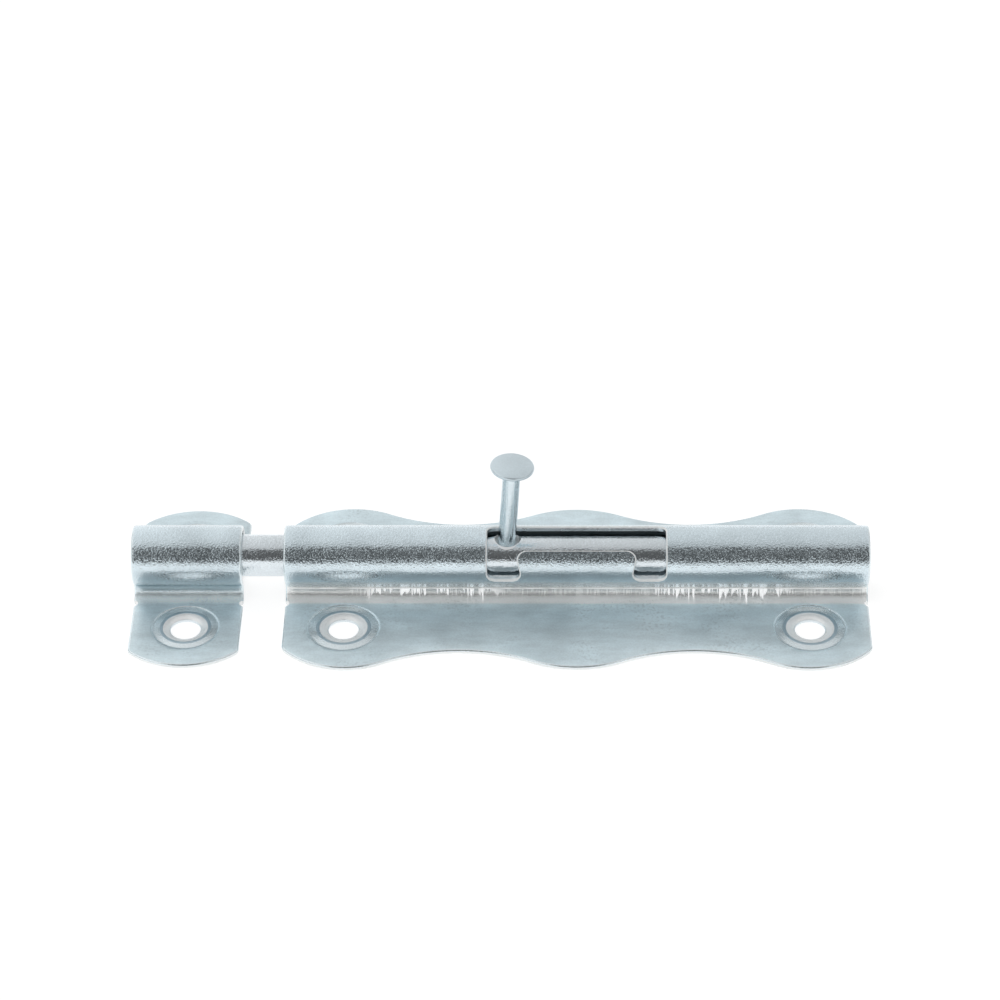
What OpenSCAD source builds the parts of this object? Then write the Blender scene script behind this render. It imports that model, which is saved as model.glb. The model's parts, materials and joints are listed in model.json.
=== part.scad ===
// Barrel bolt with keeper, in zinc-plated steel.
// The barrel is pressed out of the same sheet as its back plate. A round bolt slides in it, carries a
// riveted knob pin through an L-shaped slot, and locks when the pin is turned down into a notch.
// Frame: origin at the middle of the plate's four screw holes, on the mounting face. +X runs along the
// bolt away from the keeper, -Y is the side where the notches open, +Z stands up from the mounting face.

/* [Back plate] */
// Length of the plate and its barrel along the bolt
plate_l = 120; // [80:1:200]
// Thickness of the pressed sheet
sheet_t = 1.2; // [0.8:0.1:2]
// Distance of each end crest of the wavy edge from the middle of the plate
end_crest_x = 47; // [30:0.5:90]
// Half width of the plate at the end crests
end_crest_w = 26.7; // [18:0.1:40]
// Radius of the end crests
end_crest_r = 16.5; // [8:0.1:40]
// Half width of the plate at the middle crest
mid_crest_w = 26.5; // [18:0.1:40]
// Radius of the middle crest
mid_crest_r = 21.7; // [8:0.1:40]
// Radius of the hollows between the crests
valley_r = 35; // [15:0.5:80]

/* [Barrel] */
// Outside diameter of the barrel
barrel_d = 12.5; // [9:0.1:24]
// Height of the barrel's axis above the mounting face
axis_z = 8.95; // [6:0.05:18]
// Radius of the hollow bend between barrel and flange
bend_r = 1.9; // [0.8:0.1:4]
// Radius of the small relief bites at the ends of the bend lines
relief_r = 0.85; // [0.4:0.05:2]

/* [Slot] */
// Length of the slot over both notches
slot_l = 36.6; // [20:0.1:60]
// Width of each locking notch along the bolt
notch_w = 6.15; // [4:0.05:10]
// Distance of the slot's rear edge behind the barrel's axis
slot_rear_y = 2.05; // [1:0.05:5]
// Angle of the slot's front edge above the horizontal
slot_front_deg = 47; // [20:1:70]
// Angle of the floor of the notches above the horizontal
notch_floor_deg = -16; // [-40:1:10]
// Radius of the slot's corners
slot_corner_r = 1.9; // [0.3:0.1:3]

/* [Screw holes] */
// Distance between the plate's hole pairs, along the bolt
plate_hole_dx = 95.2; // [40:0.1:160]
// Distance between the two holes of a pair, across the bolt
hole_dy = 28; // [18:0.1:44]
// Diameter of the screw holes
hole_d = 6.2; // [3:0.1:9]
// Height of the straight wall under the countersink
hole_land = 0.35; // [0.2:0.05:1]
// Diameter of the rounded countersink at its rim
sink_d = 10.6; // [6:0.1:16]
// Diameter of the shallow dish that is coined around each hole
dish_d = 15; // [8:0.1:20]
// Depth of the coined dish
dish_depth = 0.16; // [0:0.01:0.4]

/* [Keeper] */
// Length of the keeper along the bolt
keeper_l = 22.6; // [14:0.1:40]
// Gap between the keeper and the plate
keeper_gap = 8.65; // [2:0.05:30]
// Half width of the keeper at the middle of its rounded ends
keeper_w = 26; // [18:0.1:40]
// Radius of the keeper's rounded ends
keeper_end_r = 16; // [12:0.1:40]

/* [Bolt] */
// Diameter of the round bolt
bolt_d = 8.7; // [6:0.05:18]
// Distance from the knob pin to the nose of the bolt
nose_reach = 75.5; // [40:0.5:140]
// Distance from the knob pin to the tail of the bolt
tail_reach = 44; // [25:0.5:90]
// Chamfer at both ends of the bolt
bolt_chamfer = 0.8; // [0:0.05:2]
// Position of the knob pin at rest, thrown, over the left notch
pin_x = -14.6; // [-30:0.05:0]
// Length of the tail piece of the bolt, which slides and needn't turn
tail_l = 9; // [6:0.5:14]

/* [Knob pin] */
// Diameter of the pin's shank
pin_d = 3.65; // [2.5:0.05:6]
// Diameter of the flat head
head_d = 9; // [6:0.1:16]
// Height of the middle of the head's rim above the bolt's axis
head_z = 22.6; // [15:0.1:40]
// Thickness of the head's rim
rim_t = 0.9; // [0.4:0.05:2]
// Rise of the head's crowned top above its rim
crown = 0.45; // [0:0.05:2]
// Drop of the tapered underside from the rim to the shank
underside = 0.8; // [0:0.05:2]
// Lean of the riveted pin along the bolt, away from the keeper
pin_lean = 4; // [0:0.5:8]
// Diameter of the countersink around the pin's foot
foot_sink_d = 5.3; // [4:0.1:8]

/* [Hidden] */
$fn = 96;
fit_gap = 0.05;                       // left between the two lengths of the bolt
barrel_r = barrel_d / 2;
bore_r = barrel_r - sheet_t;
bolt_r = bolt_d / 2;
pin_r = pin_d / 2;
flange_w = max(end_crest_w, mid_crest_w, keeper_w) + 1;
bend_z = sheet_t + bend_r;            // centre of the hollow bend, tangent to flange and barrel
bend_y = sqrt(pow(barrel_r + bend_r, 2) - pow(axis_z - bend_z, 2));
keeper_x = -plate_l / 2 - keeper_gap - keeper_l / 2;
nose_x = pin_x - nose_reach;
tail_x = pin_x + tail_reach;
steel = [0.78, 0.80, 0.82];
steel_dark = [0.70, 0.73, 0.76];
steel_head = [0.82, 0.83, 0.83];

// Which node to draw

// ---------- the shape of the pressed sheet ----------

// Cross-section of a solid hump: from the middle out to the circles that round its foot.
module hump(foot_r) {
    difference() {
        polygon([[-bend_y, -1], [bend_y, -1], [bend_y, bend_z], [0, axis_z], [-bend_y, bend_z]]);
        for (s = [-1, 1]) translate([s * bend_y, bend_z]) circle(r = foot_r);
    }
}

// Cross-section of the sheet, seen along the bolt: two flanges and the barrel between them.
module sheet_section() {
    difference() {
        union() {
            translate([0, axis_z]) circle(r = barrel_r);
            intersection() {
                hump(bend_r);
                translate([-bend_y, 0]) square([2 * bend_y, axis_z]);
            }
            translate([-flange_w, 0]) square([2 * flange_w, sheet_t]);
        }
        translate([0, axis_z]) circle(r = bore_r);
        hump(bend_r + sheet_t);
    }
}

// The section carried along the bolt and trimmed to an outline.
module pressed_sheet(l) {
    intersection() {
        rotate([90, 0, 90]) translate([0, 0, -l / 2]) linear_extrude(l) sheet_section();
        linear_extrude(axis_z + barrel_r + 1) children();
    }
}

// Centre of the hollow that is tangent to the middle crest and to an end crest.
function valley_centre() = let (
    a = [0, mid_crest_w - mid_crest_r], b = [end_crest_x, end_crest_w - end_crest_r],
    ra = mid_crest_r + valley_r, rb = end_crest_r + valley_r,
    d = norm(b - a), u = (b - a) / d,
    along = (ra * ra - rb * rb + d * d) / (2 * d), up = sqrt(ra * ra - along * along)
) a + along * u + up * [-u[1], u[0]];

// Outline of the plate: three round crests on each long side, joined by round hollows.
module plate_outline() {
    end_c = [end_crest_x, end_crest_w - end_crest_r];
    mid_c = [0, mid_crest_w - mid_crest_r];
    hollow = valley_centre();
    edge_x = plate_l / 2;
    intersection() {
        translate([-edge_x, -flange_w]) square([plate_l, 2 * flange_w]);
        for (m = [0, 1]) mirror([0, m]) difference() {
            union() {
                polygon([[-edge_x, -1], [edge_x, -1], [edge_x, end_c[1]], end_c, hollow, mid_c,
                         [-hollow[0], hollow[1]], [-end_c[0], end_c[1]], [-edge_x, end_c[1]]]);
                translate(mid_c) circle(r = mid_crest_r);
                for (s = [-1, 1]) translate([s * end_c[0], end_c[1]]) circle(r = end_crest_r);
            }
            for (s = [-1, 1]) translate([s * hollow[0], hollow[1]]) circle(r = valley_r);
        }
    }
}

module keeper_outline() {
    intersection() {
        translate([-keeper_l / 2, -flange_w]) square([keeper_l, 2 * flange_w]);
        union() {
            square([keeper_l, 2 * (keeper_w - keeper_end_r)], center = true);
            for (s = [-1, 1]) translate([0, s * (keeper_w - keeper_end_r)]) circle(r = keeper_end_r);
        }
    }
}

// ---------- what is punched out of the sheet ----------

// A countersunk screw hole: straight land, rounded countersink, shallow coined dish.
module screw_hole() {
    hole_r = hole_d / 2;
    sink_r = sink_d / 2;
    sink_top = sheet_t - dish_depth;
    drop = sink_top - hole_land;
    run = sink_r - hole_r;
    round_r = (run * run + drop * drop) / (2 * drop);
    translate([0, 0, -1]) cylinder(r = hole_r, h = sheet_t + 2);
    rotate_extrude() difference() {
        polygon([[0, hole_land], [hole_r, hole_land], [sink_r, hole_land], [sink_r, sink_top],
                 [dish_d / 2, sheet_t], [dish_d / 2, sheet_t + 1], [0, sheet_t + 1]]);
        translate([sink_r, sink_top - round_r]) circle(r = round_r);
    }
}

// Relief bites at the four ends of the bend lines.
module reliefs(l) {
    for (sx = [-1, 1], sy = [-1, 1])
        translate([sx * l / 2, sy * (bend_y + 0.3), -1]) cylinder(r = relief_r, h = sheet_t + bend_r + 1);
}

// A rounded rectangle from two squares and four circles.
module rounded(w, h, r) {
    translate([r, 0]) square([w - 2 * r, h]);
    translate([0, r]) square([w, h - 2 * r]);
    for (x = [r, w - r], y = [r, h - r]) translate([x, y]) circle(r = r);
}

// Turns things made above the barrel's axis to an angle above the horizontal on the notch side.
module at_angle(a) {
    translate([0, 0, axis_z]) rotate([90 - a, 0, 0]) children();
}

module slot_cut() {
    reach = barrel_r + 2;
    floor_z = axis_z + barrel_r * sin(notch_floor_deg);
    top_z = axis_z + barrel_r * sin(slot_front_deg) + 0.6;
    half_corner = asin(slot_corner_r / barrel_r) / 2;
    // the long run, open to the rear edge and ending at the front edge
    intersection() {
        translate([-slot_l / 2, slot_rear_y - 2 * reach, axis_z])
            linear_extrude(reach) rounded(slot_l, 2 * reach, slot_corner_r);
        at_angle(slot_front_deg) translate([-slot_l, 0, 0]) cube([2 * slot_l, 2 * reach, 2 * reach]);
    }
    for (s = [0, 1]) mirror([s, 0, 0]) {
        // a locking notch, punched from the front
        translate([-slot_l / 2, 0, floor_z]) rotate([90, 0, 0]) linear_extrude(reach)
            intersection() {
                rounded(notch_w, 3 * notch_w, slot_corner_r);
                square([notch_w, top_z - floor_z]);
            }
        // the rounded corner of the tongue beside it, a hair above the front edge so that the two cross
        at_angle(slot_front_deg - half_corner)
            translate([-slot_l / 2 + notch_w, barrel_r * sin(half_corner) + 0.02, 0])
                linear_extrude(reach) difference() {
                    translate([-0.3, -slot_corner_r]) square([slot_corner_r + 0.3, slot_corner_r + 0.3]);
                    translate([slot_corner_r, -slot_corner_r]) circle(r = slot_corner_r);
                }
    }
}

// ---------- the pieces ----------

module back_plate() {
    color(steel) difference() {
        pressed_sheet(plate_l) plate_outline();
        for (x = [-1, 1], y = [-1, 1]) translate([x * plate_hole_dx / 2, y * hole_dy / 2, 0]) screw_hole();
        reliefs(plate_l);
        slot_cut();
    }
}

module keeper() {
    color(steel) translate([keeper_x, 0, 0]) difference() {
        pressed_sheet(keeper_l) keeper_outline();
        for (y = [-1, 1]) translate([0, y * hole_dy / 2, 0]) screw_hole();
        reliefs(keeper_l);
    }
}

// A length of round bar along X, with its left or right end chamfered.
module bar(from, to, left_c, right_c) {
    translate([from, 0, axis_z]) rotate([0, 90, 0]) rotate_extrude() polygon([
        [0, 0], [bolt_r - left_c, 0], [bolt_r, left_c],
        [bolt_r, to - from - right_c], [bolt_r - right_c, to - from], [0, to - from]
    ]);
}

// Stands things on the knob pin's axis, from the bolt's axis outwards.
module on_pin() {
    translate([pin_x, 0, axis_z]) rotate([0, pin_lean, 0]) children();
}

module bolt_rod() {
    color(steel_dark) difference() {
        bar(nose_x, tail_x - tail_l, bolt_chamfer, 0);
        on_pin() {
            cylinder(r = pin_r, h = 2 * bolt_d, center = true);
            for (turned = [0, 180]) rotate([turned, 0, 0]) foot_cone(0);
        }
    }
}

// The conical countersink at either end of the cross hole.
module foot_cone(less) {
    depth = foot_sink_d / 2 - pin_r;
    translate([0, 0, bolt_r - depth]) cylinder(r1 = pin_r, r2 = pin_r + 2 * depth - less, h = 2 * depth - less);
}

module bolt_rod_tail() {
    color(steel_dark) bar(tail_x - tail_l + fit_gap, tail_x, 0, bolt_chamfer);
}

module knob_pin() {
    foot = bolt_r + 0.1;
    rim_low = head_z - rim_t / 2;
    rim_high = head_z + rim_t / 2;
    head_r = head_d / 2;
    round_r = rim_t / 2;
    crown_w = head_r - round_r;
    crown_r = (crown_w * crown_w + crown * crown) / (2 * crown);
    color(steel_head) on_pin() rotate_extrude() {
        translate([0, -foot]) square([pin_r, foot + head_z]);
        polygon([[0, rim_low - underside], [pin_r, rim_low - underside], [crown_w, rim_low],
                 [crown_w, rim_high], [0, rim_high]]);
        intersection() {
            translate([0, head_z]) square([head_r, 2 * rim_t], center = false);
            translate([crown_w, head_z]) circle(r = round_r);
        }
        intersection() {
            translate([0, rim_low]) square([head_r, rim_t]);
            translate([crown_w, head_z]) circle(r = round_r);
        }
        intersection() {
            translate([0, rim_high]) square([crown_w, crown]);
            translate([0, rim_high + crown - crown_r]) circle(r = crown_r);
        }
    }
}

back_plate();
keeper();
bolt_rod();
bolt_rod_tail();
knob_pin();
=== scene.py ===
# %% [markdown]
# # A zinc-plated barrel bolt
# The lock has a back plate whose barrel is pressed up out of the same sheet, a small keeper made the
# same way, a round bolt, and a knob pin riveted through it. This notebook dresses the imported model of
# the lock for rendering: it sets the camera and the light, draws the pressed sheet anew with the soft
# edges that a press leaves, and gives every surface its zinc.
#
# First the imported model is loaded. It is the fixed frame: each piece drawn here takes its place and
# size from it, in metres, and moves with one of its bodies.

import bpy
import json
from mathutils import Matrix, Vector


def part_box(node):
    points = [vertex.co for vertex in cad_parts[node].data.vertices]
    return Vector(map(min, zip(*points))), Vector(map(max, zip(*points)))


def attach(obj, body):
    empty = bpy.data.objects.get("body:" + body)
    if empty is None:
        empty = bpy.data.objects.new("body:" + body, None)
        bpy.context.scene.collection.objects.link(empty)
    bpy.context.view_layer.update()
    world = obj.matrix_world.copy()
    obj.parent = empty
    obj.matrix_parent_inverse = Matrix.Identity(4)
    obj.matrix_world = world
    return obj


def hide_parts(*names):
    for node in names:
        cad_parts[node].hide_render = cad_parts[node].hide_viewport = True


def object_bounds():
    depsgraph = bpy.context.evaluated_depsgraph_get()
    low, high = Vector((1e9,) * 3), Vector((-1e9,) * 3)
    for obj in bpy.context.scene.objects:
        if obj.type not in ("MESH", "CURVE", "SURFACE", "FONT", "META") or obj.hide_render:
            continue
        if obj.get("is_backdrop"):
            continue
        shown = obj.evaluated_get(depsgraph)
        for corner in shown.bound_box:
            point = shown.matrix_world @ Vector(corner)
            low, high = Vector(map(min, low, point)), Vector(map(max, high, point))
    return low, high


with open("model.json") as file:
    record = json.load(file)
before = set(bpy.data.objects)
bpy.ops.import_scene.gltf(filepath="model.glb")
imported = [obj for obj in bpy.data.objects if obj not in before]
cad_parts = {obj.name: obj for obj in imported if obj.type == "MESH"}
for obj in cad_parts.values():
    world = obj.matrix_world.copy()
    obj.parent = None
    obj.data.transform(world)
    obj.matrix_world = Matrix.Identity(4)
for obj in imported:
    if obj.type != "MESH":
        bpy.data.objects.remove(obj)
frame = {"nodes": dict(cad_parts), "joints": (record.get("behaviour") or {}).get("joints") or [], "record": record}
cad_low, cad_high = (list(corner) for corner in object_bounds())

import json
import math

import bpy
import numpy as np
from mathutils import Matrix, Vector

MM = 0.001
nodes = frame["nodes"]
print("nodes", sorted(nodes), "box", cad_low, cad_high)

# %% [markdown]
# ## Camera
# The camera looks down on the lock from its notch side, from a little to the right of square on, with
# a long lens, so that the edges along the bolt stay almost parallel. It could be placed by hand, but
# then it would miss if the lock changed size. Here its place is worked out from the lock's own box:
# so many lengths away, aimed a little off the middle.

# %% Camera
length = cad_high[0] - cad_low[0]
middle = (Vector(cad_low) + Vector(cad_high)) / 2
pitch, yaw, roll = math.radians(36.77), -0.0223, 0.0134
side = Vector((math.cos(yaw), -math.sin(yaw), 0))
ahead = Vector((math.sin(yaw) * math.cos(pitch), math.cos(yaw) * math.cos(pitch), -math.sin(pitch)))
lift = side.cross(ahead)
right = math.cos(roll) * side - math.sin(roll) * lift
up = math.sin(roll) * side + math.cos(roll) * lift
away, aim_right, aim_up = 5.2527 * length, -0.00029 * length, 0.03704 * length
place = middle + aim_right * right + aim_up * up - away * ahead

lens = bpy.data.cameras.new("camera")
lens.sensor_width, lens.lens = 36, 139.7
lens.clip_start, lens.clip_end = 0.01, 20
camera = bpy.data.objects.new("camera", lens)
bpy.context.scene.collection.objects.link(camera)
turn = Matrix((right, up, -ahead)).transposed()
camera.matrix_world = Matrix.Translation(place) @ turn.to_4x4()
bpy.context.scene.camera = camera
print("camera", [round(v, 4) for v in place], "lens", lens.lens)

# %% [markdown]
# ## Light
# Bright metal shows what stands around it. In a product studio that is a white table, a white sky
# overhead, and a dark gap in front, low down, where the camera stands: the gap is what draws the dark
# speckled band along the barrel. Out to both sides there is a low grey band, so that the rounds still
# read when the lock is seen from an end, and a window on the left is a little brighter than the rest.
# Lamps could do all this, but a sky that changes only with the angle above the front horizon and with
# how far to the side it is says it in three ramps.

# %% Nodes and ramps
def fill(tree, node, inputs):
    """Fills a node's inputs, each from a number or from another node's socket."""
    for key, value in inputs.items():
        if isinstance(value, bpy.types.NodeSocket):
            tree.links.new(value, node.inputs[key])
        else:
            node.inputs[key].default_value = value


def add(tree, kind, inputs, **settings):
    """Adds a node, sets its options and fills its inputs."""
    node = tree.nodes.new(kind)
    for name, value in settings.items():
        setattr(node, name, value)
    fill(tree, node, inputs)
    return node


def ramp(tree, factor, stops):
    """A smooth ramp of greys through (position, grey) stops, in rising order."""
    node = add(tree, "ShaderNodeValToRGB", {"Fac": factor})
    band = node.color_ramp
    band.interpolation = "EASE"
    band.elements[1].position = stops[-1][0]
    band.elements[0].position = stops[0][0]
    for position, _ in stops[1:-1]:
        band.elements.new(position)
    for element, (_, grey) in zip(band.elements, stops):
        element.color = (grey, grey, grey, 1)
    return node.outputs["Color"]


def spread(tree, value, low, high, out_low=0.0, out_high=1.0, soft=False):
    """Maps low to high onto out_low to out_high, and holds the ends. Soft eases in and out of them."""
    return add(tree, "ShaderNodeMapRange", {0: value, 1: low, 2: high, 3: out_low, 4: out_high},
               interpolation_type="SMOOTHSTEP" if soft else "LINEAR").outputs[0]


def reckon(tree, operation, *values):
    """One step of arithmetic on sockets or numbers."""
    return add(tree, "ShaderNodeMath", dict(enumerate(values)), operation=operation).outputs[0]


def product(tree, first, *others):
    """All the values multiplied together."""
    for value in others:
        first = reckon(tree, "MULTIPLY", first, value)
    return first


def blend_colour(tree, share, first, second, how="MIX"):
    """Mixes two colours by a share, or multiplies the first by the second."""
    first, second = ((*c, 1) if isinstance(c, tuple) else c for c in (first, second))
    return add(tree, "ShaderNodeMix", {"Factor": share, 6: first, 7: second},
               data_type="RGBA", blend_type=how).outputs[2]


# %% Sky
# brightness by degrees above the front horizon, on over the top and down to the back one at 180.
# Open sky is what lies to either side of the gap, and its own ramp is what lies straight ahead.
open_stops = [(0, 0.95), (20, 0.90), (62, 0.86), (110, 0.86), (150, 0.88), (180, 0.90)]
gap_stops = [(0, 0.95), (7, 0.86), (11, 0.11), (66, 0.14), (74, 0.62), (110, 0.74), (150, 0.83),
             (180, 0.88)]
# brightness by height at the far sides, from 0 at the table to 1 overhead
side_stops = [(0.0, 0.95), (0.08, 0.85), (0.16, 0.32), (0.42, 0.38), (0.58, 0.9), (1.0, 0.95)]
# how far aside the gap fades into the open sky, and that into the far sides: 0 is the middle, 1 the side
gap_ends, sides_start = (0.30, 0.46), (0.55, 0.75)
window_edge, in_window, out_of_window = (-0.13, -0.08), 1.22, 0.955

world = bpy.data.worlds.new("studio")
bpy.context.scene.world = world
world.use_nodes = True
tree = world.node_tree
tree.nodes.clear()
way = add(tree, "ShaderNodeTexCoord", {}).outputs["Generated"]
to_right, to_back, upward = add(tree, "ShaderNodeSeparateXYZ", {0: way}).outputs
angle = reckon(tree, "ARCTAN2", upward, product(tree, to_back, -1.0))
half_turn = spread(tree, angle, 0.0, math.pi)
open_sky, gap_sky = (ramp(tree, half_turn, [(degrees / 180, grey) for degrees, grey in stops])
                     for stops in (open_stops, gap_stops))
aside = reckon(tree, "ABSOLUTE", to_right)
sky = blend_colour(tree, spread(tree, aside, *gap_ends, soft=True), gap_sky, open_sky)
sky = blend_colour(tree, spread(tree, aside, *sides_start, soft=True), sky, ramp(tree, upward, side_stops))
strength = spread(tree, to_right, *window_edge, in_window, out_of_window)
lit = add(tree, "ShaderNodeBackground", {"Color": sky, "Strength": strength})
add(tree, "ShaderNodeOutputWorld", {"Surface": lit.outputs[0]})
print("sky of", len(tree.nodes), "nodes")

# %% White table
table_reach, table_drop = 12 * length, 0.2 * MM
table_mesh = bpy.data.meshes.new("table")
table_mesh.from_pydata([(x * table_reach, y * table_reach, cad_low[2] - table_drop) for x, y in
                        ((-1, -1), (1, -1), (1, 1), (-1, 1))], [], [(0, 1, 2, 3)])
table = bpy.data.objects.new("table", table_mesh)
bpy.context.scene.collection.objects.link(table)

# it glows a little of its own, so that it stays white all the way out
white = bpy.data.materials.new("white_table")
white.use_nodes = True
fill(white.node_tree, white.node_tree.nodes["Principled BSDF"], {
    "Base Color": (0.35, 0.35, 0.35, 1), "Roughness": 0.9,
    "Emission Color": (1, 1, 1, 1), "Emission Strength": 0.8})
table_mesh.materials.append(white)
table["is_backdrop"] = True
bpy.context.scene.view_settings.view_transform = "Standard"
print("table", round(2 * table_reach, 2), "m wide")

# %% [markdown]
# ## Zinc
# Bright zinc plate is a thin, faintly blue metal coat over drawn or rolled steel. Close up it has
# three things on it: a fine grain that breaks a sharp reflection into speckles, slow clouds where the
# bath left it thicker or thinner, and pale bare marks where the press rubbed it. A noise texture on
# the Object coordinates of each piece, which the lock's frame sets in metres, gives each of them at
# its real size.

# %% Zinc
ZINC = (0.70, 0.80, 0.85)
GRAINS_PER_M = 2900.0


def new_metal(name):
    """An empty metal material, with its tree, its shader and the place on the piece."""
    material = bpy.data.materials.new(name)
    material.use_nodes = True
    tree = material.node_tree
    shader = tree.nodes["Principled BSDF"]
    shader.inputs["Metallic"].default_value = 1.0
    return material, tree, shader, add(tree, "ShaderNodeTexCoord", {}).outputs["Object"]


def stretched(tree, place, scale):
    """The place with each axis scaled, so that a pattern on it is drawn out where the scale is small."""
    return add(tree, "ShaderNodeMapping", {"Vector": place, "Scale": scale}).outputs[0]


def noise(tree, place, per_metre, detail=2.0):
    """A soft random pattern with so many waves in a metre."""
    return add(tree, "ShaderNodeTexNoise",
               {"Vector": place, "Scale": per_metre, "Detail": detail}).outputs["Fac"]


def wander(tree, pattern, low, high):
    """A value that wanders between low and high with a noise, which mostly stays in 0.3 to 0.7."""
    return spread(tree, pattern, 0.3, 0.7, low, high)


def grainy(tree, fine, high=1.0):
    """The height of the fine grains: flat ground, with the noise's upper half standing out of it."""
    return spread(tree, fine, 0.45, 0.8, 0.0, high)


def raised(tree, height, depth, **under):
    """The normal of a surface raised by so many metres where the height is 1."""
    return add(tree, "ShaderNodeBump",
               {"Strength": 1.0, "Distance": depth, "Height": height, **under}).outputs[0]


def zinc(name, colour, roughness, grain=0.5, metallic=1.0):
    """Metal whose colour drifts with a slow noise, and whose surface is raised in fine grains."""
    material, tree, shader, place = new_metal(name)
    fine, slow = noise(tree, place, GRAINS_PER_M), noise(tree, place, 110.0, 3.0)
    drift = product(tree, wander(tree, slow, 0.95, 1.05), wander(tree, fine, 0.95, 1.03))
    fill(tree, shader, {
        "Base Color": blend_colour(tree, 1.0, colour, drift, "MULTIPLY"),
        "Roughness": wander(tree, slow, roughness * 0.85, roughness * 1.2),
        "Metallic": metallic,
        "Normal": raised(tree, grainy(tree, fine), 0.05 * MM * grain)})
    return material


# %% [markdown]
# The sheet needs more than one finish, because the press touched it in different ways. The barrel was
# drawn over a polished rod and stays bright, with a coarse grain where the steel stretched. The
# flanges were held flat in the die and are more matt. Along the foot of the barrel the steel slid
# over the die's edge: there the zinc is dull and scuffed, with short pale score marks across the
# bend, close together where the die gripped hardest. Painting these by hand would need a UV map. The
# height above the mounting face and the distance from the bolt's line tell them apart just as well.
#
# The score marks are bare scratched metal, whose small facets glint. A smooth white patch would
# only look grey where it faces the dark gap, so the marks are painted white and also give off a little light of
# their own: a painted glint.

# %% Score marks and their painted glint
def score_marks_and_glints(tree, place, x, z, on_plate):
    """1 where the zinc is scraped, painted pale and given a painted glint: short scrapes that hang from the line
    where the barrel turns into the bend, each with its own length, and on the plate a thin bright line at their
    upper end."""
    top, line_low, line_high, fade = 3.2 * MM, 3.1 * MM, 3.6 * MM, 0.2 * MM
    short_end, long_end, tip = 2.5 * MM, 0.9 * MM, 0.4 * MM
    half_plate, narrowing, even_at = 60 * MM, 40.0, 2.4 * MM
    across = stretched(tree, place, (1, 0.05, 0.05))
    # each stripe gets narrower on its way down
    taper = reckon(tree, "MULTIPLY_ADD", z, narrowing, -narrowing * even_at)
    stripes = spread(tree, reckon(tree, "ADD", noise(tree, across, GRAINS_PER_M, 1.0), taper), 0.475, 0.515)
    patch = spread(tree, noise(tree, across, 420.0, 1.0), 0.36, 0.44)
    grip = ramp(tree, spread(tree, x, -half_plate, half_plate), [
        (0.0, 0.0), (0.10, 0.0), (0.13, 0.2), (0.16, 1.0), (0.34, 1.0), (0.38, 0.15), (0.62, 0.15),
        (0.65, 1.0), (0.84, 1.0), (0.88, 0.1)])
    lower_end = spread(tree, noise(tree, across, 900.0, 1.0), 0.35, 0.65, short_end, long_end)
    above_end = spread(tree, reckon(tree, "SUBTRACT", z, lower_end), 0.0, tip)
    below_top = spread(tree, z, top, top + fade, 1.0, 0.0)
    broken = spread(tree, noise(tree, across, 260.0, 1.0), 0.3, 0.6, 0.15, 0.6)
    line = product(tree, spread(tree, z, line_low, line_low + fade),
                   spread(tree, z, line_high - fade, line_high, 1.0, 0.0), broken, on_plate)
    return reckon(tree, "MAXIMUM", product(tree, stripes, patch, grip, above_end, below_top), line)


# %% Zinc on the pressed sheet
def flange_tone(tree, place, off_line):
    """How much lighter or darker than its plain colour a flange is: mottled along the rolling of the
    sheet, lighter by the bend and at the edge, and here and there with fine dark specks."""
    near_bend, near_edge = (7 * MM, 16 * MM), (16.5 * MM, 21.5 * MM)
    rolled = stretched(tree, place, (0.3, 1, 1))
    tone = spread(tree, noise(tree, rolled, 520.0, 5.0), 0.34, 0.66, -0.07, 0.06)
    speckled_here = spread(tree, noise(tree, place, 90.0), 0.48, 0.62)
    specks = spread(tree, noise(tree, place, 1500.0, 3.0), 0.52, 0.64, 0.0, -0.16)
    for part in (product(tree, specks, speckled_here), spread(tree, off_line, *near_bend, 0.14, 0.0),
                 spread(tree, off_line, *near_edge, -0.03, 0.08)):
        tone = reckon(tree, "ADD", tone, part)
    return tone


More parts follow.
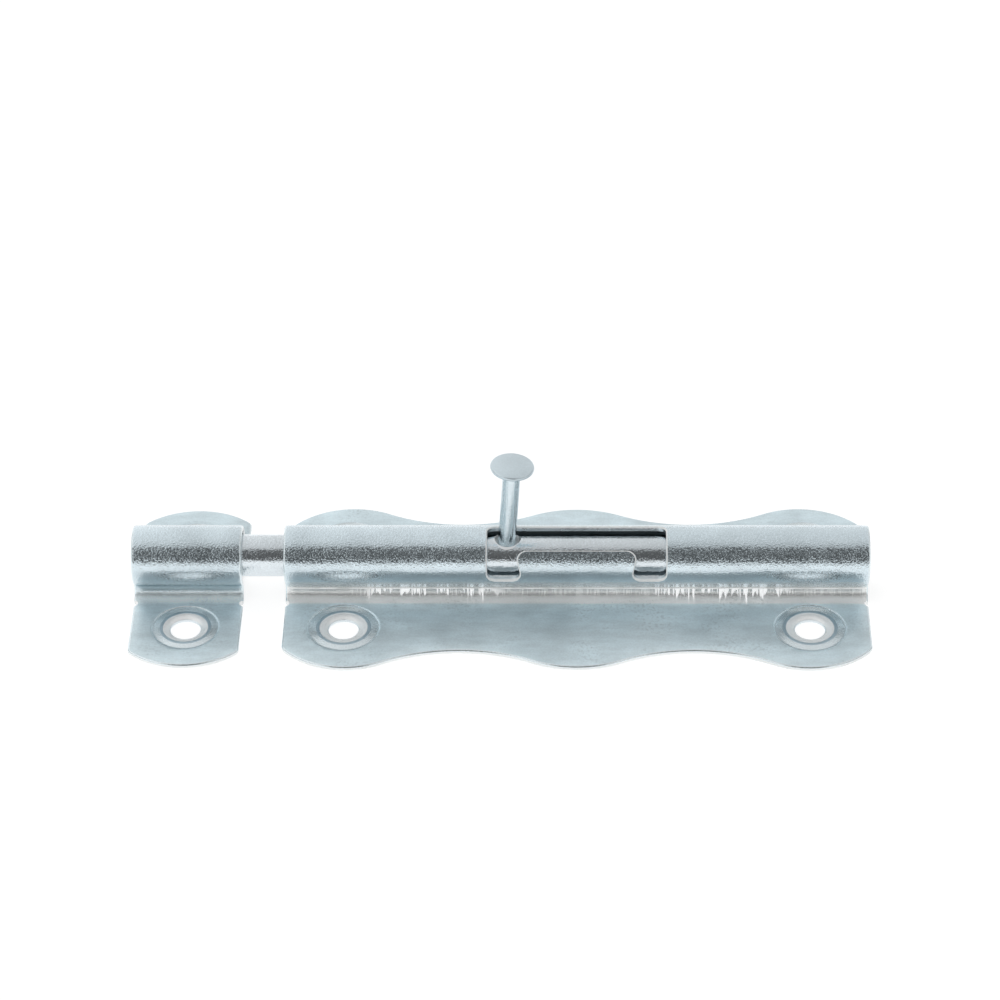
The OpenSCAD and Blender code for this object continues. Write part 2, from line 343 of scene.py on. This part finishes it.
def sheet_finish(name):
    """Zinc whose roughness, colour and grain follow the place on the section."""
    # where each zone of the section fades out, and the gap between the keeper and the plate
    flange_top, bend_top, bend_foot = (1.3 * MM, 2.0 * MM), (3.6 * MM, 4.3 * MM), (5.7 * MM, 6.5 * MM)
    keeper_gap, lower_on_keeper = (-66 * MM, -63 * MM), 1.3 * MM

    material, tree, shader, place = new_metal(name)
    x, y, z = add(tree, "ShaderNodeSeparateXYZ", {0: place}).outputs
    off_line = reckon(tree, "ABSOLUTE", y)
    flange = spread(tree, z, *flange_top, 1.0, 0.0)
    on_plate = spread(tree, x, *keeper_gap)
    above_foot = reckon(tree, "ADD", z, spread(tree, x, *keeper_gap, lower_on_keeper, 0.0))
    bend = product(tree, spread(tree, above_foot, *bend_top, 1.0, 0.0),
                   spread(tree, off_line, *bend_foot, 1.0, 0.0))
    marks_and_glints = product(tree, score_marks_and_glints(tree, place, x, z, on_plate), bend)

    fine, coarse = noise(tree, place, GRAINS_PER_M), noise(tree, place, 900.0, 3.0)
    slow, clouds = noise(tree, place, 60.0), noise(tree, place, 170.0, 4.0)
    drift = product(tree, wander(tree, slow, 0.95, 1.05), wander(tree, fine, 0.94, 1.04),
                    spread(tree, clouds, 0.35, 0.7, 0.95, 1.04),
                    reckon(tree, "MULTIPLY_ADD", flange_tone(tree, place, off_line), flange, 1.0))
    scuffed = blend_colour(tree, on_plate, (0.84, 0.94, 0.975), (0.95, 0.965, 0.955))
    colour = blend_colour(tree, flange, ZINC, (0.685, 0.80, 0.845))
    colour = blend_colour(tree, bend, colour, scuffed)
    colour = blend_colour(tree, 1.0, colour, drift, "MULTIPLY")

    rough = reckon(tree, "MULTIPLY_ADD", bend, 0.10, reckon(tree, "MULTIPLY_ADD", flange, 0.28, 0.12))
    dull = reckon(tree, "MULTIPLY_ADD", flange, 0.22, reckon(tree, "MULTIPLY_ADD", bend, 0.3, marks_and_glints))
    grains = reckon(tree, "MULTIPLY_ADD", coarse, 0.35, grainy(tree, fine))
    # the die pressed most of the grain out of the flat of the flanges
    pressed_flat = product(tree, flange, reckon(tree, "SUBTRACT", 1.0, bend))
    calm = reckon(tree, "MULTIPLY_ADD", pressed_flat, -0.7, 1.0)
    # the score marks are painted white and glow a little: a painted glint, for the light their scratched facets
    # catch
    wave_high, grain_high, painted_glint = 0.4 * MM, 0.04 * MM, 0.42
    wavy = raised(tree, slow, wave_high)
    fill(tree, shader, {
        "Base Color": blend_colour(tree, marks_and_glints, colour, (1.0, 1.0, 1.0)),
        "Roughness": product(tree, rough, wander(tree, clouds, 0.85, 1.2)),
        "Metallic": reckon(tree, "SUBTRACT", 1.0, dull),
        "Normal": raised(tree, product(tree, grains, calm), grain_high, Normal=wavy),
        "Emission Color": (1, 1, 1, 1),
        "Emission Strength": product(tree, marks_and_glints, painted_glint)})
    # the painted glint is too faint to light anything else, so no rays are spent on looking for it
    material.cycles.emission_sampling = "NONE"
    return material


# %% [markdown]
# The punched and cut faces each have their own look. A cut edge is torn and almost matt, and its
# near-white colour is a painted highlight, for the glints that its round catches. The countersink and
# the coined ring round it were squeezed by a polished punch. The darker rim between them is painted
# shade, and the bore is dull and painted dark, painted shade for the inside of the barrel. One
# finish for all of them would be simpler, but then a hole would look painted over.

# %% Materials of the sheet
sheet_materials = (
    sheet_finish("zinc_on_sheet"),
    # the cut edge's near-white, almost matt colour is a painted highlight, for the glints its round catches
    zinc("cut_edge_painted_highlight", (0.97, 1.0, 1.0), 0.3, metallic=0.12),
    # the bore's dark colour is painted shade, for the inside of the barrel
    zinc("bore_painted_shade", (0.19, 0.23, 0.25), 0.35),
    zinc("zinc_on_cut_wall", (0.74, 0.80, 0.83), 0.28, grain=0.8),
    zinc("zinc_in_countersink", (0.98, 1.0, 1.0), 0.2, grain=0.3, metallic=0.35),
    zinc("zinc_on_coined_ring", (0.79, 0.87, 0.90), 0.2, grain=0.3, metallic=0.9),
    # the darker band round each countersink's rim is painted shade
    zinc("sink_rim_painted_shade", (0.50, 0.61, 0.67), 0.3, grain=0.4))
SHEET, EDGE_WITH_HIGHLIGHT, SHADED_BORE, WALL, SINK, RING, SHADED_RIM = range(len(sheet_materials))
print("finishes", [material.name for material in sheet_materials])

# %% [markdown]
# ## Pressed sheet
# The back plate and the keeper are each one strip of sheet, pressed up into a barrel and cut to a wavy
# outline by punch and die. A punch never leaves a sharp corner: it drags the sheet's upper side down
# over the last two or three millimetres, and the edge itself is a small round. Bevels on the packed
# mesh could make the round, but not the drag, and they catch on its long thin triangles. So the sheet
# is worked out anew, as a function of two numbers: how far along the bolt, and how far down the section.
#
# Its length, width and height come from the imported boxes, and the bolt's axis from the joint that the
# bolt turns on. What they can't say, such as the sheet's thickness, is named here in millimetres.

# %% Sizes of the sheet
def box_mm(node):
    """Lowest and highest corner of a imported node, in millimetres."""
    return [np.array(corner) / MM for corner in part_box(node)]


plate_low, plate_high = box_mm("back_plate")
keeper_low, keeper_high = box_mm("keeper")
turn_joint = next(joint for joint in frame["joints"] if joint["name"] == "bolt_turn")
axis_z = turn_joint["pos_m"][2] / MM
sheet_t, bend_r, edge_round = 1.2, 1.9, 0.36
drag_wide, drag_deep = 2.6, 0.2
barrel_r = plate_high[2] - axis_z
bend_z = sheet_t + bend_r
bend_y = math.sqrt((barrel_r + bend_r) ** 2 - (axis_z - bend_z) ** 2)
print("barrel radius", round(barrel_r, 3), "bend centre", round(bend_y, 3), round(bend_z, 3))


# %% Outlines
def crest(x, centre, radius, top):
    """Height of a round crest at x: the centre's height, plus the root of radius squared less the
    square of how far x is from the centre."""
    return top - radius + np.sqrt(np.maximum(radius ** 2 - (x - centre) ** 2, 0))


def beyond(a, b, ra, rb):
    """The point ra from a and rb from b, on the outer side of the line between them."""
    gap = np.hypot(*(b - a))
    along = (ra ** 2 - rb ** 2 + gap ** 2) / (2 * gap)
    u = (b - a) / gap
    return a + along * u + math.sqrt(ra ** 2 - along ** 2) * np.array([-u[1], u[0]])


def plate_half_width(x):
    """Half width of the plate: a middle crest and two end crests, joined by hollows that touch both."""
    mid_r, end_r, hollow_r = 21.7, 16.5, 35.0
    mid_top, end_x, end_top = 26.5, 47.0, plate_high[1]
    mid, end = np.array([0, mid_top - mid_r]), np.array([end_x, end_top - end_r])
    hollow = beyond(mid, end, mid_r + hollow_r, end_r + hollow_r)
    first = hollow[0] * mid_r / (mid_r + hollow_r)
    second = end_x + (hollow[0] - end_x) * end_r / (end_r + hollow_r)
    x = np.abs(x)
    low = hollow[1] - np.sqrt(np.maximum(hollow_r ** 2 - (x - hollow[0]) ** 2, 0))
    return np.where(x < first, crest(x, 0, mid_r, mid_top),
                    np.where(x < second, low, crest(x, end_x, end_r, end_top)))


def keeper_half_width(x):
    """Half width of the keeper: one round crest."""
    return crest(x, 0, 16.0, keeper_high[1])


print("half widths", plate_half_width(np.array([0.0, 47.0, 60.0])).round(2), keeper_half_width(np.zeros(1)))


# %% Section
def section(a, h):
    """Height and reach of the sheet's section. a runs from 0 on top of the barrel to 1 at the bend's
    foot, and h is the height off the middle of the sheet. Down to the tangent it is a circle about the
    bolt's axis, of the barrel's middle radius plus h. After it, it is a circle about the bend's
    centre, which lies outside the sheet, so its radius is the bend's middle radius less h."""
    slope = math.atan2(axis_z - bend_z, bend_y)
    sweep = math.pi / 2 + slope
    barrel_mid, bend_mid = barrel_r - sheet_t / 2, bend_r + sheet_t / 2
    s = a * (barrel_mid + bend_mid) * sweep
    over = np.minimum(s / barrel_mid, sweep)
    back = math.pi - slope + np.clip(s / bend_mid - barrel_mid * sweep / bend_mid, 0, sweep)
    bent = s > barrel_mid * sweep
    y = np.where(bent, bend_y + (bend_mid - h) * np.cos(back), (barrel_mid + h) * np.sin(over))
    z = np.where(bent, bend_z + (bend_mid - h) * np.sin(back), axis_z + (barrel_mid + h) * np.cos(over))
    return y, z


def sheet_grid(centre, long, half_width, along, column, flank, h, inset):
    """A grid of points on the sheet. along is the place along the bolt, from the sheet's middle.
    column runs from 0 on top of the barrel to 1 at the bend's foot and 2 at the wavy edge, and flank
    is 1 or -1 for the side. inset draws the grid in from all edges, h lifts it off the middle, and
    near an edge the upper side sinks by the drag's depth times the square of how near it is, and less
    on the barrel, which a mandrel held up from inside."""
    corner_r, on_mandrel, far = 0.6, 0.45, 99
    x = along * (1 - 2 * inset / long)
    from_end = long / 2 - np.abs(along)
    into_corner = np.maximum(corner_r - from_end, 0)
    edge = half_width(x) - inset - corner_r + np.sqrt(corner_r ** 2 - into_corner ** 2)
    flat = np.maximum(column - 1, 0)
    from_edge = np.where(column > 1, (1 - flat) * (edge - bend_y), far)
    nearest = inset + np.minimum(from_end, from_edge)
    drag = drag_deep * np.maximum(1 - nearest / drag_wide, 0) ** 2 * (0.5 + h / sheet_t)
    drag = drag * np.clip(column, on_mandrel, 1)
    y, z = section(np.minimum(column, 1), h - drag)
    y = np.where(column > 1, bend_y + (edge - bend_y) * flat, y)
    z = np.where(column > 1, sheet_t / 2 + h - drag, z)
    return np.stack([centre + x, flank * y, z], axis=-1)


# %% Rows and columns
def rows_along(long, pitch):
    """Places of the grid's rows along the bolt: even in the middle and closer towards the ends, where
    the drag bends the surface."""
    ends = np.array([0, 0.06, 0.14, 0.24, 0.36, 0.5, 0.66, 0.85, 1.1, 1.4, 1.8])
    even_from = 2.2
    count = int((long / 2 - even_from) / pitch)
    half = long / 2 - np.concatenate([ends, np.linspace(even_from, long / 2 - pitch / 2, count)])
    return np.concatenate([-half, half[::-1]])


def columns_down():
    """Places of the grid's columns from one wavy edge over the barrel to the other, and the side that
    each lies on."""
    barrel_columns, flat_columns, flat_wide, even_to = 45, 13, 15.5, 3.2
    edge = np.array([2.3, 1.8, 1.4, 1.1, 0.85, 0.66, 0.5, 0.36, 0.24, 0.14, 0.06, 0])
    down = np.concatenate([np.linspace(0, 1, barrel_columns),
                           np.linspace(1, 2 - even_to / flat_wide, flat_columns + 1)[1:],
                           2 - edge / flat_wide])
    flank = np.concatenate([np.ones(len(down) - 1), -np.ones(len(down))])
    return np.concatenate([down[:0:-1], down]), flank


# %% Shell
def pressed_sheet(centre, long, half_width, pitch):
    """A closed shell: the sheet's upper side as one grid, its underside as another, and a rim between
    them, which is the grids' outline carried round a quarter circle, down, and round another. The
    bore is painted dark, painted shade for the inside of the barrel, and the upper quarter of the rim is as bright
    as a coined ring, rubbed by the die."""
    column, flank = columns_down()
    A, C = np.meshgrid(rows_along(long, pitch), column, indexing="ij")
    F = np.broadcast_to(flank, A.shape)
    rows, cols = A.shape
    index = np.arange(rows * cols).reshape(rows, cols)
    outline = np.concatenate([index[0, :-1], index[:-1, -1], index[-1, :0:-1], index[:0:-1, 0]])
    q = np.linspace(0, math.pi / 2, 5)
    upper = np.stack([edge_round * (1 - np.sin(q)), sheet_t / 2 - edge_round * (1 - np.cos(q))], axis=1)
    steps = np.concatenate([upper, upper[::-1] * (1, -1)])
    layers = [sheet_grid(centre, long, half_width, A, C, F, h, inset).reshape(-1, 3) for inset, h in steps]
    verts = np.concatenate([layers[0], layers[-1], *(layer[outline] for layer in layers[1:-1])])
    rim = np.arange(len(outline))
    loops = [outline, *(2 * rows * cols + k * len(outline) + rim for k in range(len(layers) - 2)),
             outline + rows * cols]
    quads = np.stack([index[:-1, :-1], index[:-1, 1:], index[1:, 1:], index[1:, :-1]], axis=-1)
    quads = quads.reshape(-1, 4)
    wall = [np.stack([a, b, np.roll(b, -1), np.roll(a, -1)], axis=1) for a, b in zip(loops, loops[1:])]
    faces = np.concatenate([quads, quads[:, ::-1] + rows * cols, *wall])
    # the underside inside the barrel gets the dark bore finish: painted shade
    inside = (C[:-1, :-1] < 1.05).ravel()
    # the sheet's rim is cut edge, painted near-white as a highlight
    kind = np.full(len(faces), EDGE_WITH_HIGHLIGHT)
    kind[:len(quads)] = SHEET
    kind[len(quads):2 * len(quads)] = np.where(inside, SHADED_BORE, SHEET)
    kind[2 * len(quads):][:(len(upper) - 1) * len(outline)] = RING
    return verts, faces, kind


def new_piece(name, verts, faces, kind):
    """Puts points in millimetres and faces into a mesh object in metres, with the sheet's materials."""
    mesh = bpy.data.meshes.new(name)
    mesh.from_pydata((np.asarray(verts) * MM).tolist(), [], [list(face) for face in faces])
    for material in sheet_materials:
        mesh.materials.append(material)
    mesh.polygons.foreach_set("material_index", np.asarray(kind, np.int32))
    mesh.update()
    piece = bpy.data.objects.new(name, mesh)
    bpy.context.scene.collection.objects.link(piece)
    return piece


def volume_of(piece):
    """Signed volume in cubic millimetres: a sixth of the sum of the triple products of the triangles."""
    mesh = piece.data
    mesh.calc_loop_triangles()
    co = np.zeros(len(mesh.vertices) * 3)
    mesh.vertices.foreach_get("co", co)
    tri = np.zeros(len(mesh.loop_triangles) * 3, np.int32)
    mesh.loop_triangles.foreach_get("vertices", tri)
    p = (co.reshape(-1, 3) / MM)[tri.reshape(-1, 3)]
    return float(np.einsum("ij,ij->i", p[:, 0], np.cross(p[:, 1], p[:, 2])).sum() / 6)


plate_long = plate_high[0] - plate_low[0]
keeper_long = keeper_high[0] - keeper_low[0]
keeper_x = (keeper_high[0] + keeper_low[0]) / 2
plate = new_piece("pressed_plate", *pressed_sheet(0.0, plate_long, plate_half_width, pitch=0.62))
keep = new_piece("pressed_keeper", *pressed_sheet(keeper_x, keeper_long, keeper_half_width, pitch=0.5))
print("volumes, mm3:", round(volume_of(plate)), round(volume_of(keep)))

# %% [markdown]
# ## Holes and slot
# Next come the punched shapes: four screw holes in the plate and two in the keeper, small bites at the
# ends of the bends, and the slot that the knob runs in. They could be left out of the grid, but then
# its rows would have to run round each of them. It is simpler to make each punch as a solid and take
# it out of the sheet with a Boolean. The larger punches widen in a round just under the sheet's
# surface, so the holes that they leave have soft lips. The screws' places and size come from the mount
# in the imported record, and the countersink's radius and the coined ring's are named here.

# %% Screw holes
mounts = {mount["name"]: mount for mount in frame["record"]["mounts"]}
spacing = mounts["plate_screws"]["dims"]
hole_x, hole_y = spacing["spacing_x_mm"] / 2, spacing["spacing_y_mm"] / 2
hole_r = spacing["hole_r_mm"]
plate_rim, plate_ring = 5.25, 7.5
keeper_rim, keeper_ring = 4.9, 7.0
print("screw holes at", hole_x, hole_y, "radius", hole_r)


# %% Round punches
def joined(grid):
    """Four-sided faces between each loop of a grid and the next, all the way round."""
    after = np.roll(grid, -1, axis=1)
    return np.stack([grid[:-1], after[:-1], after[1:], grid[1:]], axis=-1).reshape(-1, 4).tolist()


def spun(profile, centre, bands, count=96):
    """A closed surface of revolution about a vertical line: each (radius, height) of the profile is
    carried round it, and the ends, which lie on the line, close in a fan. Each band says up to which
    radius the punch leaves which finish, from the inside out. Past the last it is a coined ring."""
    profile = np.array(profile, float)
    turned = np.arange(count) * 2 * math.pi / count
    ring = np.stack([np.cos(turned), np.sin(turned), np.zeros(count)], axis=-1)
    body = profile[1:-1, None, :1] * ring + profile[1:-1, None, 1:] * np.array([0, 0, 1])
    poles = profile[[0, -1], 1][:, None] * np.array([0, 0, 1])
    grid = np.arange((len(profile) - 2) * count).reshape(-1, count)
    after = np.roll(grid, -1, axis=1)
    low = np.stack([np.full(count, grid.size), after[0], grid[0]], axis=1)
    high = np.stack([np.full(count, grid.size + 1), grid[-1], after[-1]], axis=1)
    verts = np.concatenate([body.reshape(-1, 3), poles]) + np.array([*centre, 0])
    radius = np.concatenate([profile[1:-2, 0].repeat(count), np.zeros(2 * count)])
    kind = np.select([radius < limit for limit, _ in bands], [finish for _, finish in bands], RING)
    return verts, [*joined(grid), *low.tolist(), *high.tolist()], kind


def arc(centre, radius, start, stop, count):
    """Points on a circle from one angle to another, in degrees."""
    q = np.radians(np.linspace(start, stop, count))
    return [(centre[0] + radius * math.cos(v), centre[1] + radius * math.sin(v)) for v in q]


def screw_punch(centre, rim, ring):
    """Screw hole: a soft lower lip, a straight land, a rounded countersink, and round it a coined
    ring, deepest near its outer edge, where a small step goes back up to the sheet."""
    below, above, lip, land = -3, sheet_t + 3, 0.25, 0.65
    top, floor = sheet_t - 0.03, sheet_t - 0.15
    drop, run = top - land, rim - hole_r
    bulge = (run ** 2 + drop ** 2) / (2 * drop)
    start = math.degrees(math.asin(run / bulge))
    profile = [(0, below), (hole_r + 0.6, below), (hole_r + 0.22, -0.1),
               *arc((hole_r + lip, lip), lip, 250, 180, 5),
               *arc((rim, top - bulge), bulge, 90 + start, 90, 15),
               (rim + 0.2, top - 0.005), (rim + 0.3, top - 0.012), (rim + 0.4, top - 0.02),
               (ring - 0.6, floor + 0.01), (ring - 0.45, floor), (ring - 0.32, floor + 0.005),
               (ring - 0.2, floor + 0.03), (ring, sheet_t - 0.02), (ring + 0.3, sheet_t + 0.12),
               (ring + 0.6, above), (0, above)]
    # the band just round the countersink's rim takes the darker finish: painted shade
    return spun(profile, centre, ((hole_r + 0.1, WALL), (rim - 0.4, SINK), (rim + 0.35, SHADED_RIM)))


def bite_punch(centre):
    """Relief bite at the end of a bend: a plain round pin."""
    radius, low, high = 0.85, -2, bend_z + 0.9
    return spun([(0, low), (radius, low), (radius, high), (0, high)], centre, ((math.inf, SINK),), count=40)


# %% [markdown]
# The slot is what makes this a lock. The knob slides along its long run, and at either end it can turn
# down into a notch, where the tongue between the notches holds it. It could be cut flat and wrapped
# round the barrel afterwards, but a wrapped cut has no depth. Here the flat drawing is carried out
# from inside the bore level by level, so its walls stand along the barrel's radius, as the press
# leaves them.

# %% Slot punch
def slot_outline():
    """The slot drawn flat, as a loop of (place along the bolt, distance round the barrel): one long run
    along the top with a notch down the front at each end, all corners round. The tongue's two corners
    and the notches' inner walls meet in an S-curve. The loop is shared out in even steps."""
    wide, notch, corner, tongue, step = 18.3, 6.15, 1.9, 2.0, 0.22
    bottom, front_edge = (barrel_r * math.radians(degrees) for degrees in (-18.5, 47.0))
    rear_y = 2.05
    rear = barrel_r * (math.pi / 2 + math.asin(rear_y / barrel_r))
    nose_x, heel_x = wide - notch + 0.1 - tongue, wide - notch + corner - 0.5
    loop = arc((wide - corner, bottom + corner), corner, -90, 0, 12)
    loop += arc((wide - corner, rear - corner), corner, 0, 90, 12)
    loop += arc((-wide + corner, rear - corner), corner, 90, 180, 12)
    loop += arc((-wide + corner, bottom + corner), corner, 180, 270, 12)
    loop += arc((-heel_x, bottom + corner), corner, -90, 14, 13)
    loop += arc((-nose_x, front_edge - tongue), tongue, 194, 90, 13)
    loop += arc((nose_x, front_edge - tongue), tongue, 90, -14, 13)
    loop += arc((heel_x, bottom + corner), corner, 166, 270, 13)
    closed = np.array([*loop, loop[0]])
    at = np.concatenate([[0], np.cumsum(np.hypot(*np.diff(closed, axis=0).T))])
    even = np.arange(0, at[-1], step)
    return np.stack([np.interp(even, at, closed[:, k]) for k in (0, 1)], axis=1)


def slot_punch():
    """The slot's outline carried outwards from inside the bore. Round the front it moves along the
    barrel's radius, and behind the top it moves straight up. Near the sheet's two faces the outline
    grows by a quarter round, so that the slot gets soft lips, thinner along the tongue and wider on
    the notches' floors."""
    loop = slot_outline()
    run = np.roll(loop, -1, axis=0) - np.roll(loop, 1, axis=0)
    outwards = np.stack([run[:, 1], -run[:, 0]], axis=1) / np.hypot(*run.T)[:, None]
    bore_r, top_line = barrel_r - sheet_t, barrel_r * math.pi / 2
    lip, inner_lip = 0.42, 0.2
    tongue_half, tongue_fade, floor_band = 11.6, 1.5, 0.9
    thinner, wider = 0.35, 0.6
    # each lip stops short of a full quarter, so that it meets the sheet's face at a clear angle
    q = np.radians(np.linspace(0, 68, 7))
    levels = [(bore_r - 2.5, inner_lip * 1.4), (bore_r - 0.1, inner_lip)]
    levels += [(bore_r + inner_lip * (1 - math.sin(v)), inner_lip * (1 - math.cos(v))) for v in q[::-1]]
    levels += [(barrel_r - lip * (1 - math.sin(v)), lip * (1 - math.cos(v))) for v in q]
    levels += [(barrel_r + 0.12, lip * 0.95), (barrel_r + 11.5, lip)]
    r, grow = np.array(levels).T[:, :, None]
    on_tongue = np.clip((tongue_half - np.abs(loop[:, 0])) / tongue_fade, 0, 1) * (loop[:, 1] < top_line)
    on_floor = np.clip((loop[:, 1].min() + floor_band - loop[:, 1]) / floor_band, 0, 1)
    share = 1 - thinner * on_tongue + wider * on_floor
    x = loop[:, 0] + grow * share * outwards[:, 0]
    turned = (loop[:, 1] + grow * share * outwards[:, 1]) / barrel_r
    in_front = turned < math.pi / 2
    y = np.where(in_front, -r * np.cos(turned), barrel_r * np.sin(turned - math.pi / 2))
    z = np.where(in_front, r * np.sin(turned), np.sqrt(np.maximum(r ** 2 - y ** 2, 0.01)))
    verts = np.stack([x, y, z + axis_z], axis=-1).reshape(-1, 3)
    grid = np.arange(len(verts)).reshape(-1, len(loop))
    # the slot's lips take the cut edge's finish, whose near-white is a painted highlight
    deep = np.where(r[:-1, 0] < barrel_r - lip - 0.05, WALL, EDGE_WITH_HIGHLIGHT).repeat(len(loop))
    return verts, [*joined(grid), grid[0, ::-1].tolist(), grid[-1].tolist()], np.append(deep, [EDGE_WITH_HIGHLIGHT, EDGE_WITH_HIGHLIGHT])


# %% [markdown]
# Now the punches go through the sheet. A Boolean keeps each cut face in the punch's own material, so
# the countersink, the ring round it, the slot's walls and its lips all get their finishes from the
# tool that made them. The steps are applied at once, because a finished piece should be plain mesh.

# %% Punching
sharp_from = math.radians(40)


def punch(piece, tools):
    """Takes every tool's space out of the piece, and keeps the result as the piece's mesh."""
    cutters = [new_piece("punch_%d" % k, *tool) for k, tool in enumerate(tools)]
    for cutter in cutters:
        if volume_of(cutter) < 0:
            cutter.data.flip_normals()
        step = piece.modifiers.new(cutter.name, "BOOLEAN")
        step.operation, step.object = "DIFFERENCE", cutter
        step.solver, step.material_mode = "MANIFOLD", "TRANSFER"
    bpy.context.view_layer.update()
    made = bpy.data.meshes.new_from_object(piece.evaluated_get(bpy.context.evaluated_depsgraph_get()))
    piece.modifiers.clear()
    piece.data = made
    for cutter in cutters:
        bpy.data.objects.remove(cutter)
    made.polygons.foreach_set("use_smooth", np.ones(len(made.polygons), bool))
    made.set_sharp_from_angle(angle=sharp_from)
    made.calc_loop_triangles()
    print(piece.name, len(made.loop_triangles), "triangles", round(volume_of(piece)), "mm3",
          [m.name for m in made.materials])


both = (-1, 1)
bite_y = bend_y + 0.3
punch(plate, [slot_punch(),
              *(screw_punch((x * hole_x, y * hole_y), plate_rim, plate_ring) for x in both for y in both),
              *(bite_punch((x * plate_long / 2, y * bite_y)) for x in both for y in both)])
punch(keep, [*(screw_punch((keeper_x, y * hole_y), keeper_rim, keeper_ring) for y in both),
             *(bite_punch((keeper_x + x * keeper_long / 2, y * bite_y)) for x in both for y in both)])
for piece, node in ((plate, "back_plate"), (keep, "keeper")):
    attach(piece, "mounting")
    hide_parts(node)

# %% [markdown]
# ## Bolt and knob
# The bolt is drawn bar, plated in a drum with hundreds of others. It is brighter than the sheet, and
# the die has left very fine lines along it. Where the pin is riveted in, the countersink is pale bare
# metal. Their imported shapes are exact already, a turned bar and a nail, so they keep their own meshes
# and only get their finish. A second piece for the countersink would need a cut in the bar. Its
# colour can come from the distance to the pin's line instead.

# %% Bolt finish
def bolt_finish(name, foot, sink_r=2.65 * MM):
    """Drawn round bar: bright, with fine lines along it, and pale bare metal in the countersink round
    the knob pin's foot, within sink_r of the pin's line."""
    material, tree, shader, place = new_metal(name)
    from_foot = add(tree, "ShaderNodeVectorMath", {0: place, 1: foot}, operation="SUBTRACT").outputs[0]
    level = add(tree, "ShaderNodeVectorMath", {0: from_foot, 1: (1, 1, 0)}, operation="MULTIPLY").outputs[0]
    apart = add(tree, "ShaderNodeVectorMath", {0: level}, operation="LENGTH").outputs["Value"]
    sunk = spread(tree, apart, sink_r - 0.1 * MM, sink_r + 0.05 * MM, 1.0, 0.0)
    fine, slow = noise(tree, place, GRAINS_PER_M), noise(tree, place, 110.0, 3.0)
    lines = noise(tree, stretched(tree, place, (0.12, 1, 1)), 3500.0)
    drift = product(tree, wander(tree, slow, 0.95, 1.05), wander(tree, fine, 0.94, 1.03))
    colour = blend_colour(tree, 1.0, (0.74, 0.80, 0.835), drift, "MULTIPLY")
    grains = reckon(tree, "MULTIPLY_ADD", lines, 0.5, grainy(tree, fine))
    fill(tree, shader, {
        "Base Color": blend_colour(tree, sunk, colour, (0.95, 0.97, 0.98)),
        "Roughness": wander(tree, slow, 0.05, 0.09),
        "Metallic": spread(tree, sunk, 0.0, 1.0, 1.0, 0.35),
        "Normal": raised(tree, grains, 0.028 * MM)})
    return material


# %% [markdown]
# The knob is a wire nail with a flat head. Tumbling in the plating drum rubbed the head matt, and the
# shank kept the wire's long bright lines. One material does both, told apart by the height of the
# neck. The pin leans a little along the bolt, so the place where it meets the bar's top is worked out
# from its line.

# %% Knob finish
def knob_finish(name, neck):
    """The head is matt from tumbling, and the shank keeps the bright lines of the drawn wire."""
    material, tree, shader, place = new_metal(name)
    z = add(tree, "ShaderNodeSeparateXYZ", {0: place}).outputs["Z"]
    head = spread(tree, z, neck - 0.3 * MM, neck + 0.3 * MM)
    fine, slow = noise(tree, place, GRAINS_PER_M), noise(tree, place, 150.0, 3.0)
    lines = noise(tree, stretched(tree, place, (1, 1, 0.04)), 1700.0)
    drift = product(tree, wander(tree, slow, 0.95, 1.05), wander(tree, fine, 0.96, 1.03))
    colour = blend_colour(tree, head, (0.70, 0.79, 0.83), (0.65, 0.74, 0.785))
    drawn = product(tree, lines, spread(tree, head, 0.0, 1.0, 1.6, 0.0))
    fill(tree, shader, {
        "Base Color": blend_colour(tree, 1.0, colour, drift, "MULTIPLY"),
        "Roughness": spread(tree, head, 0.0, 1.0, 0.1, 0.34),
        "Normal": raised(tree, reckon(tree, "ADD", drawn, grainy(tree, fine, 0.3)), 0.09 * MM)})
    return material


head_thick = 2.0
pin_x, pin_lean = -14.6, math.radians(4)
pin_high, rod_high = box_mm("knob_pin")[1], box_mm("bolt_rod")[1]
knob_zinc = knob_finish("zinc_on_knob", (pin_high[2] - head_thick) * MM)
foot_x = pin_x + (rod_high[2] - axis_z) * math.tan(pin_lean)
bolt_zinc = bolt_finish("zinc_on_bolt", (foot_x * MM, 0, 0))
for name, material in (("bolt_rod", bolt_zinc), ("bolt_rod_tail", bolt_zinc), ("knob_pin", knob_zinc)):
    nodes[name].data.materials.clear()
    nodes[name].data.materials.append(material)
print("knob pin meets the bar at x", round(foot_x, 2))
